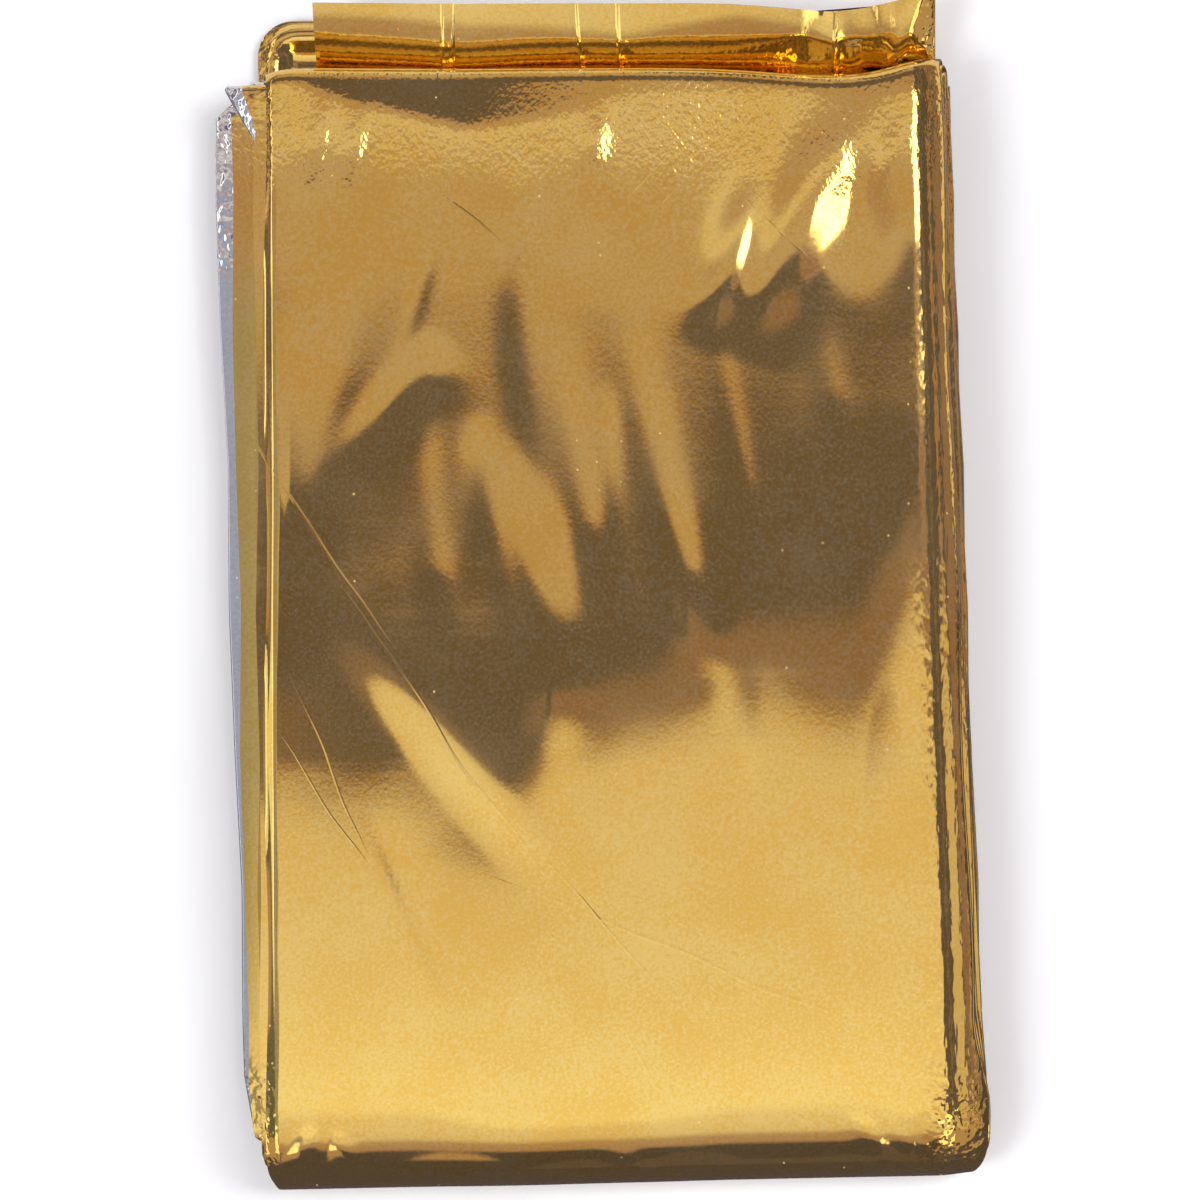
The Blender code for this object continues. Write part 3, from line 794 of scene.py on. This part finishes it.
class NodeTree:
    """Short ways to add nodes to a tree."""

    def __init__(self, tree):
        self.tree = tree

    def add(self, kind, inputs, **settings):
        node = self.tree.nodes.new(kind)
        for name, value in settings.items():
            setattr(node, name, value)
        for name, value in inputs.items():
            self.put(value, node.inputs[name])
        return node

    def put(self, value, socket):
        """Links a value that is a node's output, and sets one that is a number or a colour."""
        if isinstance(value, bpy.types.NodeSocket):
            self.tree.links.new(value, socket)
        else:
            socket.default_value = value

    def math(self, operation, a, b=0.0, c=0.0, clamp=False):
        inputs = {0: a, 1: b, 2: c}
        return self.add("ShaderNodeMath", inputs, operation=operation, use_clamp=clamp).outputs[0]

    def total(self, *values):
        return reduce(partial(self.math, "ADD"), values)

    def product(self, *values):
        return reduce(partial(self.math, "MULTIPLY"), values)

    def vector(self, operation, a, b=(0, 0, 0)):
        return self.add("ShaderNodeVectorMath", {0: a, 1: b}, operation=operation).outputs

    def ramp(self, value, low, high, to_low=0.0, to_high=1.0):
        """From one value up to low to another from high on, with a soft step between."""
        inputs = {"Value": value, "From Min": low, "From Max": high}
        inputs.update({"To Min": to_low, "To Max": to_high})
        return self.add("ShaderNodeMapRange", inputs, interpolation_type="SMOOTHSTEP").outputs[0]

    def between(self, value, low, high, soft):
        """1 from low to high and 0 beyond, with soft steps of a width."""
        above, beyond = (self.ramp(value, edge - soft / 2, edge + soft / 2) for edge in (low, high))
        return self.product(above, self.math("SUBTRACT", 1.0, beyond))

    def noise(self, place, scale, detail, stretch):
        place = self.vector("MULTIPLY", place, stretch)[0]
        inputs = {"Vector": place, "Scale": scale, "Detail": detail}
        return self.add("ShaderNodeTexNoise", inputs).outputs["Fac"]

    def parts(self, vector):
        return self.add("ShaderNodeSeparateXYZ", {0: vector}).outputs

    def blend(self, share, a, b):
        return self.add("ShaderNodeMix", {0: share, 6: a, 7: b}, data_type="RGBA").outputs[2]

    def blend_numbers(self, share, a, b):
        return self.add("ShaderNodeMix", {0: share, 2: a, 3: b}, data_type="FLOAT").outputs[0]


def hairlines(nodes, place):
    """The depth of the hairline creases at a place, in metres: each a long, narrow spindle."""
    depth = 0.0
    for line in HAIRLINES:
        x0, y0, x1, y1, width = (line[name] * MM for name in ("x0", "y0", "x1", "y1", "width"))
        spindle = {
            "Vector": place,
            "Location": ((x0 + x1) / 2, (y0 + y1) / 2, 0.0),
            "Rotation": (0.0, 0.0, math.atan2(y1 - y0, x1 - x0)),
            "Scale": (math.hypot(x1 - x0, y1 - y0) / 2, width, 1.0),
        }
        away = nodes.add("ShaderNodeMapping", spindle, vector_type="TEXTURE").outputs[0]
        inside = nodes.math("SUBTRACT", 1.0, nodes.vector("LENGTH", away)[1], clamp=True)
        depth = nodes.math("MULTIPLY_ADD", inside, line["depth"] * MICROMETRE, depth)
    return depth


def specks(nodes, place):
    """1 in small sparse dots, 0 elsewhere."""
    inputs = {"Vector": place, "Scale": SPECK_SCALE}
    cells = nodes.add("ShaderNodeTexVoronoi", inputs, voronoi_dimensions="2D").outputs
    core = SPECK_RADIUS * SPECK_CORE
    near = nodes.ramp(cells["Distance"], core, SPECK_RADIUS, 1.0, 0.0)
    value = nodes.add("ShaderNodeSeparateColor", {0: cells["Color"]}).outputs[0]
    return nodes.product(near, nodes.math("LESS_THAN", value, SPECK_CHANCE))


# What the film's colour, gloss and relief share: a point's place, one that wanders off it, and the
# film's noises there.
Texture = namedtuple("Texture", "place wandering cloud grain rubbed dots")


def film_texture(nodes):
    """The film's texture at each point."""
    place = nodes.add("ShaderNodeTexCoord", {}).outputs["Object"]
    inputs = {"Vector": place, "Scale": WANDER_SCALE, "Detail": 0.0}
    drift = nodes.add("ShaderNodeTexNoise", inputs).outputs["Color"]
    drift = nodes.vector("SUBTRACT", drift, (0.5, 0.5, 0.5))[0]
    drift = nodes.vector("MULTIPLY", drift, (WANDER_REACH, WANDER_REACH, 0))[0]
    wandering = nodes.vector("ADD", place, drift)[0]
    cloud = nodes.noise(place, *CLOUD_NOISE)
    grain = nodes.noise(place, *GRAIN_NOISE)
    rubbed = nodes.noise(place, *RUB_NOISE)
    dots = nodes.product(specks(nodes, wandering), nodes.ramp(cloud, *SPECK_CLOUDS))
    return Texture(place, wandering, cloud, grain, rubbed, dots)


def film_colour(nodes, texture, colour, deep, pale):
    """The film's colour, mottled with its deep and pale tones."""
    mottle = nodes.total(nodes.product(texture.cloud, 0.5), nodes.product(texture.grain, 0.5))
    tones = nodes.blend(nodes.ramp(mottle, *MOTTLE), deep, pale)
    return nodes.blend(1 - MOTTLE_SHARE, tones, colour)


def film_roughness(nodes, texture):
    """The film's roughness: clouded, and higher on specks and where it is rubbed."""
    return nodes.total(
        nodes.ramp(texture.cloud, *ROUGH_CLOUDS, *ROUGHNESS),
        nodes.product(texture.dots, SPECK_ROUGHNESS),
        nodes.ramp(texture.rubbed, *RUBBED, 0.0, RUB_ROUGHNESS),
    )


def film_height(nodes, texture, crinkles):
    """The film's fine relief, in metres: crinkles, grain, hairlines, specks and crushed corners."""
    x, y, _ = nodes.parts(texture.place)
    crinkled = nodes.noise(texture.wandering, *crinkles["noise"])
    near_end = nodes.ramp(y, crinkles["start"], crinkles["full"], CRINKLE_FLOOR, 1.0)
    on_packet = nodes.ramp(y, *FLAP_CRINKLE_FROM, 1.0, FLAP_CRINKLE_SHARE)
    rolled = nodes.noise(texture.wandering, *ROLL_NOISE)
    corner_x = nodes.ramp(nodes.math("ABSOLUTE", x), *CORNER_X)
    corner_y = nodes.ramp(nodes.math("ABSOLUTE", y), *CORNER_Y, 0.0, CORNER_DEPTH)
    crushed = nodes.noise(texture.wandering, *CORNER_NOISE)
    return nodes.total(
        nodes.product(crinkled, near_end, on_packet, crinkles["depth"]),
        nodes.product(rolled, nodes.ramp(x, *ROLL_FROM, 0.0, ROLL_DEPTH)),
        nodes.product(texture.grain, GRAIN_DEPTH),
        nodes.product(texture.rubbed, RUB_DEPTH),
        hairlines(nodes, texture.wandering),
        nodes.product(texture.dots, SPECK_DEPTH),
        nodes.product(corner_x, corner_y, crushed),
    )


def film_material(name, colour, deep, pale, crinkles):
    """Bright metallised film: mirror-like, finely grained, creased, scratched and specked."""
    material = bpy.data.materials.new(name)
    material.use_nodes = True
    nodes = NodeTree(material.node_tree)
    texture = film_texture(nodes)
    relief_inputs = {"Distance": 1.0, "Strength": 1.0}
    relief_inputs["Height"] = film_height(nodes, texture, crinkles)
    looks = {
        "Base Color": film_colour(nodes, texture, colour, deep, pale),
        "Metallic": nodes.math("MULTIPLY_ADD", texture.dots, SPECK_METALLIC - 1, 1.0),
        "Roughness": film_roughness(nodes, texture),
        "Coat Weight": nodes.ramp(texture.grain, *COAT_GRAIN, *COAT_WEIGHT),
        "Coat Roughness": COAT_ROUGHNESS,
        "Coat IOR": COAT_IOR,
        "Normal": nodes.add("ShaderNodeBump", relief_inputs).outputs[0],
    }
    shader = material.node_tree.nodes["Principled BSDF"]
    for socket, value in looks.items():
        nodes.put(value, shader.inputs[socket])
    return material


# ------------------------------------------------------------------------------------------------
# The studio: a light tent with a dark gap overhead, where the camera looks in, and a pale floor.
# ------------------------------------------------------------------------------------------------

# The tent's light by v alone, the angle from the zenith towards +Y, in degrees.
STRIPES = (
    (-90.0, 0.09),
    (-62.0, 0.09),
    (-57.0, 0.34),
    (-46.0, 0.40),
    (-38.0, 0.70),
    (-24.0, 0.80),
    (-20.0, 0.98),
    (-14.0, 0.95),
    (-8.0, 0.78),
    (-3.7, 0.70),
    (-2.9, 0.53),
    (4.0, 0.53),
    (4.4, 0.46),
    (12.5, 0.46),
    (14.5, 0.48),
    (17.0, 0.66),
    (21.0, 0.66),
    (25.0, 0.42),
    (33.0, 0.42),
    (38.0, 0.14),
    (54.0, 0.14),
    (62.0, 0.42),
    (78.0, 0.48),
    (86.0, 0.75),
    (90.0, 0.75),
)
# One row a card of the tent, each laid over those above it. u is the angle from the zenith towards
# +X and v towards +Y, in degrees. soft is the width of the card's edges.
CARD_COLUMNS = ("u_low", "u_high", "v_low", "v_high", "soft", "light")
CARD_ROWS = (
    (-12.0, 10.0, -3.7, 4.4, 0.9, 0.138),
    (-12.0, -3.2, -3.7, -0.8, 2.2, 0.20),
    (-0.2, 10.0, -3.7, -0.6, 2.2, 0.225),
    (10.0, 24.0, -4.7, 4.4, 1.2, 0.25),
    (-200.0, -16.0, -74.0, 14.0, 6.0, 0.37),
    (-66.0, -42.0, -74.0, 90.0, 8.0, 0.15),
    (-52.0, -44.0, -14.0, 60.0, 3.0, 1.40),
    (-60.0, -51.0, -14.0, 6.0, 2.0, 0.95),
    (23.0, 90.0, -90.0, 90.0, 2.0, 0.12),
    (38.0, 43.0, -70.0, 90.0, 4.0, 0.19),
    (60.0, 67.0, -70.0, 90.0, 3.0, 0.30),
    (52.0, 70.0, -70.0, -3.0, 3.0, 0.62),
    (73.0, 88.0, -70.0, 90.0, 3.0, 0.24),
    (90.0, 200.0, 140.0, 200.0, 4.0, 0.20),
    (45.0, 88.0, -76.0, -45.0, 4.0, 0.42),
    (-88.0, -45.0, -76.0, -45.0, 4.0, 0.42),
    (21.0, 33.0, 8.0, 26.0, 3.0, 1.10),
    (13.8, 30.0, 6.0, 26.0, 2.0, 4.50),
    (21.0, 42.0, -62.0, -30.0, 4.0, 1.60),
    (-42.0, -21.0, -62.0, -30.0, 4.0, 1.40),
)
CARDS = [dict(zip(CARD_COLUMNS, row)) for row in CARD_ROWS]

# The light's colour by its strength: the dimmest is bluish. Light from COOL_U and COOL_V is cooler.
TINTS = (
    (0.0, (1.01, 0.93, 1.48, 1.0)),
    (0.15, (1.02, 0.92, 1.42, 1.0)),
    (0.27, (1.28, 0.87, 0.95, 1.0)),
    (0.50, (1.1, 0.96, 0.92, 1.0)),
    (1.0, (1.0, 0.99, 0.96, 1.0)),
)
COOL = (0.95, 1.02, 1.2, 1.0)
COOL_U, COOL_V = (-66.0, -15.0), (-40.0, 6.0)
COOL_SOFT, COOL_SHARE = 3.0, 0.8


def striped_light(nodes, v):
    """The strength of the tent's stripes. Their curve has v from -90 to 90 degrees as 0 to 1."""
    share = nodes.math("MULTIPLY_ADD", v, 1 / 180, 0.5)
    stripes = nodes.add("ShaderNodeFloatCurve", {"Value": share})
    curve = stripes.mapping.curves[0]
    while len(curve.points) < len(STRIPES):
        curve.points.new(0.5, 0.5)
    for point, (angle, strength) in zip(curve.points, STRIPES):
        point.location = (angle / 180 + 0.5, strength)
        point.handle_type = "VECTOR"
    stripes.mapping.extend = "HORIZONTAL"
    stripes.mapping.update()
    return stripes.outputs[0]


def tinted(nodes, light, u, v):
    """The light's colour."""
    tint = nodes.add("ShaderNodeValToRGB", {0: light})
    ramp = tint.color_ramp.elements
    while len(ramp) < len(TINTS):
        ramp.new(0.5)
    for element, (strength, colour) in zip(ramp, TINTS):
        element.position = strength
        element.color = colour
    cool = nodes.product(
        nodes.between(u, *COOL_U, COOL_SOFT), nodes.between(v, *COOL_V, COOL_SOFT), COOL_SHARE
    )
    return nodes.blend(cool, tint.outputs[0], COOL)


def tent_world():
    """The world's light: the stripes and cards of the tent, by direction."""
    world = bpy.data.worlds.new("tent")
    world.use_nodes = True
    world.node_tree.nodes.clear()
    nodes = NodeTree(world.node_tree)
    x, y, z = nodes.parts(nodes.add("ShaderNodeTexCoord", {}).outputs["Generated"])
    u, v = (nodes.product(nodes.math("ARCTAN2", side, z), math.degrees(1)) for side in (x, y))
    light = striped_light(nodes, v)
    for card in CARDS:
        inside = nodes.product(
            nodes.between(v, card["v_low"], card["v_high"], card["soft"]),
            nodes.between(u, card["u_low"], card["u_high"], card["soft"]),
        )
        light = nodes.blend_numbers(inside, light, card["light"])
    inputs = {"Color": tinted(nodes, light, u, v), "Strength": light}
    background = nodes.add("ShaderNodeBackground", inputs).outputs[0]
    nodes.add("ShaderNodeOutputWorld", {"Surface": background})
    world.cycles.sampling_method = "NONE"
    bpy.context.scene.world = world


FLOOR_SIDE = 4.0
FLOOR_COLOUR = (0.90, 0.92, 0.93, 1.0)
FLOOR_ROUGHNESS, FLOOR_SPECULAR = 0.7, 0.2


def floor():
    """A plain pale floor, which the film doesn't mirror."""
    half = FLOOR_SIDE / 2
    corners = [(-half, -half, 0), (half, -half, 0), (half, half, 0), (-half, half, 0)]
    mesh = bpy.data.meshes.new("floor")
    mesh.from_pydata(corners, [], [(0, 1, 2, 3)])
    material = bpy.data.materials.new("floor")
    material.use_nodes = True
    shader = material.node_tree.nodes["Principled BSDF"]
    shader.inputs["Base Color"].default_value = FLOOR_COLOUR
    shader.inputs["Roughness"].default_value = FLOOR_ROUGHNESS
    shader.inputs["Specular IOR Level"].default_value = FLOOR_SPECULAR
    mesh.materials.append(material)
    ground = bpy.data.objects.new("floor", mesh)
    bpy.context.scene.collection.objects.link(ground)
    ground.visible_glossy = False


LAMP_PLACES = {"left_lamp": (-0.9, -0.3, 1.0), "right_lamp": (0.9, 0.3, 1.0)}
LAMP_SIZE = 0.6
LAMP_WATTS = 9


def lamps():
    """Two soft lamps for the floor, which the film doesn't mirror."""
    for name, place in LAMP_PLACES.items():
        data = bpy.data.lights.new(name, "AREA")
        data.energy = LAMP_WATTS
        data.size = LAMP_SIZE
        light = bpy.data.objects.new(name, data)
        light.location = place
        light.rotation_euler = (-Vector(place)).to_track_quat("-Z", "Y").to_euler()
        light.visible_glossy = False
        bpy.context.scene.collection.objects.link(light)


FRAME_SIDE = 139.53 * MM
CAMERA_LENS = 110.0
CAMERA_SENSOR = 36.0
CAMERA_HEIGHT = FRAME_SIDE * CAMERA_LENS / CAMERA_SENSOR


def camera():
    """A camera that looks straight down, with a view FRAME_SIDE wide at the packet's top."""
    data = bpy.data.cameras.new("camera")
    data.lens = CAMERA_LENS
    data.sensor_width = CAMERA_SENSOR
    eye = bpy.data.objects.new("camera", data)
    eye.location = (0, 0, CAMERA_HEIGHT + STACK_HEIGHT)
    bpy.context.scene.collection.objects.link(eye)
    bpy.context.scene.camera = eye


def main():
    gold = film_material("gold_film", GOLD_COLOUR, GOLD_DEEP, GOLD_PALE, GOLD_CRINKLES)
    silver = film_material("silver_film", SILVER_COLOUR, SILVER_DEEP, SILVER_PALE, SILVER_CRINKLES)
    film = film_sheet(gold, silver)
    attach(film, "root")
    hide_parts("foil_sheet")
    tent_world()
    floor()
    lamps()
    camera()
    bpy.context.scene.view_settings.view_transform = "Standard"


main()
